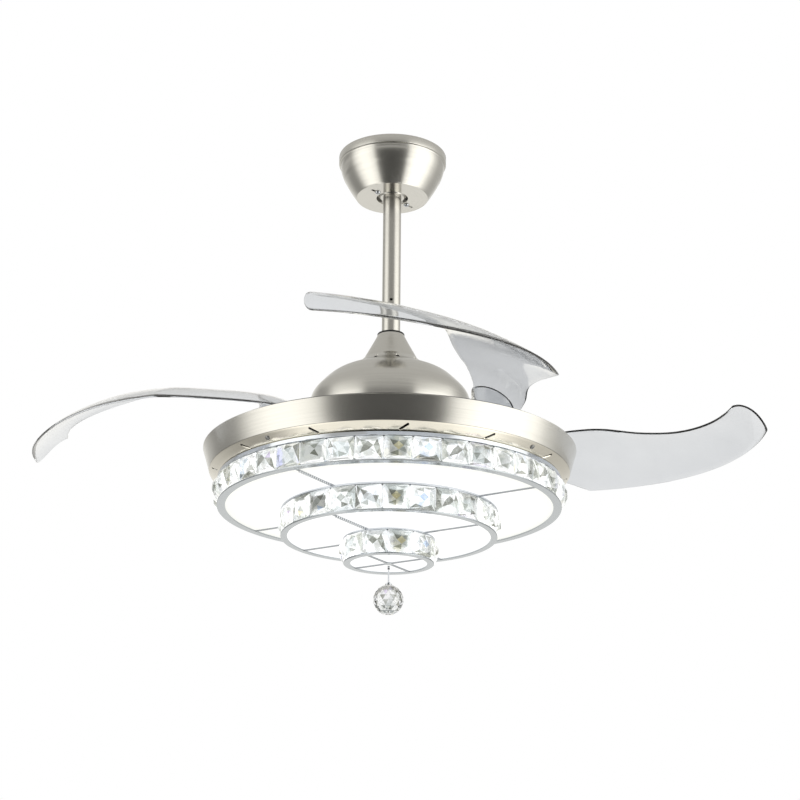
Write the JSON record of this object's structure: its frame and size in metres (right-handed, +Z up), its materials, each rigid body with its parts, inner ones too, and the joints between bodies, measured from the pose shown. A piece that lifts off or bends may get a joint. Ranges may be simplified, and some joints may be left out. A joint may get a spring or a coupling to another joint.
{
  "type": "retractable blade ceiling fan",
  "caption": "Ceiling fan with clear blades that fold in over a flat drum, hung on a downrod, with a tiered crystal light and a crystal pendant under it.",
  "frame": {"origin": "centre of the hanger bracket's top face, which lies flat on the ceiling", "axes": "+Z up along the downrod, +X along the hanger bracket and its cross pin, -Y towards the pictured front"},
  "size_m": [0.982, 0.982, 0.6616],
  "materials": {
    "nickel": "brushed nickel",
    "polished": "polished",
    "chrome": "mirror",
    "steel": "zinc plated",
    "core": "varnished laminations",
    "copper": "enamelled wire",
    "bright_metal": "bright plated",
    "black_plastic": "satin",
    "rubber": "matt",
    "white_plastic": "satin",
    "board_white": "white solder mask",
    "clear_plastic": "clear acrylic",
    "crystal": "cut crystal",
    "glow": "opal diffuser, lit"
  },
  "bodies": {
    "ceiling": {"ceiling_bracket": "steel", "canopy_shell": "nickel", "canopy_screw_1": "chrome", "canopy_screw_2": "chrome", "receiver_box": "white_plastic"},
    "hanging": {"hanger_ball": "nickel", "ball_pin": "steel", "downrod": "nickel", "yoke_coupling": "steel", "yoke_bolt": "steel", "yoke_nut": "steel", "gasket_ring": "rubber", "dome_housing": "nickel", "motor_shaft": "steel", "shaft_nut": "steel", "stator_core": "core", "stator_winding": "copper", "drum_band": "nickel", "drum_pan": "polished", "driver_box": "white_plastic", "tier_body_1": "bright_metal", "tier_body_2": "bright_metal", "tier_body_3": "bright_metal", "light_board_1": "board_white", "light_board_2": "board_white", "light_board_3": "board_white", "diffuser_1": "glow", "diffuser_2": "glow", "diffuser_3": "glow", "crystal_band_1": "crystal", "crystal_band_2": "crystal", "crystal_band_3": "crystal", "bottom_frame_1": "chrome", "bottom_frame_2": "chrome", "bottom_frame_3": "chrome"},
    "rotor": {"rotor_lower_shell": "steel", "rotor_upper_shell": "steel", "magnet_ring": "core", "lower_bearing": "steel", "upper_bearing": "steel", "blade_carrier": "black_plastic", "carrier_cover": "black_plastic"},
    "synchroniser": {"gear_ring": "black_plastic"},
    "blade_arm_1": {"blade_1": "clear_plastic", "blade_hub_1": "black_plastic", "return_spring_1": "steel"},
    "blade_arm_2": {"blade_2": "clear_plastic", "blade_hub_2": "black_plastic", "return_spring_2": "steel"},
    "blade_arm_3": {"blade_3": "clear_plastic", "blade_hub_3": "black_plastic", "return_spring_3": "steel"},
    "blade_arm_4": {"blade_4": "clear_plastic", "blade_hub_4": "black_plastic", "return_spring_4": "steel"},
    "pendant": {"pendant_link": "chrome", "pendant_ball": "crystal"}
  },
  "joints": [
    {"name": "hanger_tilt", "type": "hinge", "parent": "ceiling", "child": "hanging", "pos_m": [0, 0, -0.042], "axis": [1, 0, 0], "range_deg": [-10, 10]},
    {"name": "rotor_spin", "type": "hinge", "parent": "hanging", "child": "rotor", "pos_m": [0, 0, -0.4416], "axis": [0, 0, 1], "continuous": true},
    {"name": "blade_fold_1", "type": "hinge", "parent": "rotor", "child": "blade_arm_1", "pos_m": [0.14088, 0.13045, -0.4416], "axis": [0, 0, 1], "range_deg": [-74, 0]},
    {"name": "blade_fold_2", "type": "hinge", "parent": "rotor", "child": "blade_arm_2", "pos_m": [-0.13045, 0.14088, -0.4416], "axis": [0, 0, 1], "range_deg": [-74, 0]},
    {"name": "blade_fold_3", "type": "hinge", "parent": "rotor", "child": "blade_arm_3", "pos_m": [-0.14088, -0.13045, -0.4416], "axis": [0, 0, 1], "range_deg": [-74, 0]},
    {"name": "blade_fold_4", "type": "hinge", "parent": "rotor", "child": "blade_arm_4", "pos_m": [0.13045, -0.14088, -0.4416], "axis": [0, 0, 1], "range_deg": [-74, 0]},
    {"name": "synchroniser_turn", "type": "hinge", "parent": "rotor", "child": "synchroniser", "pos_m": [0, 0, -0.4416], "axis": [0, 0, 1], "range_deg": [-0.2, 17.3]},
    {"name": "pendant_swing", "type": "hinge", "parent": "hanging", "child": "pendant", "pos_m": [0, 0, -0.5987], "axis": [1, 0, 0], "range_deg": [-60, 60]}
  ],
  "couplings": [
    {"joint": "blade_fold_2", "follows": "blade_fold_1", "ratio": 1},
    {"joint": "blade_fold_3", "follows": "blade_fold_1", "ratio": 1},
    {"joint": "blade_fold_4", "follows": "blade_fold_1", "ratio": 1},
    {"joint": "synchroniser_turn", "follows": "blade_fold_1", "ratio": -0.23077}
  ]
}
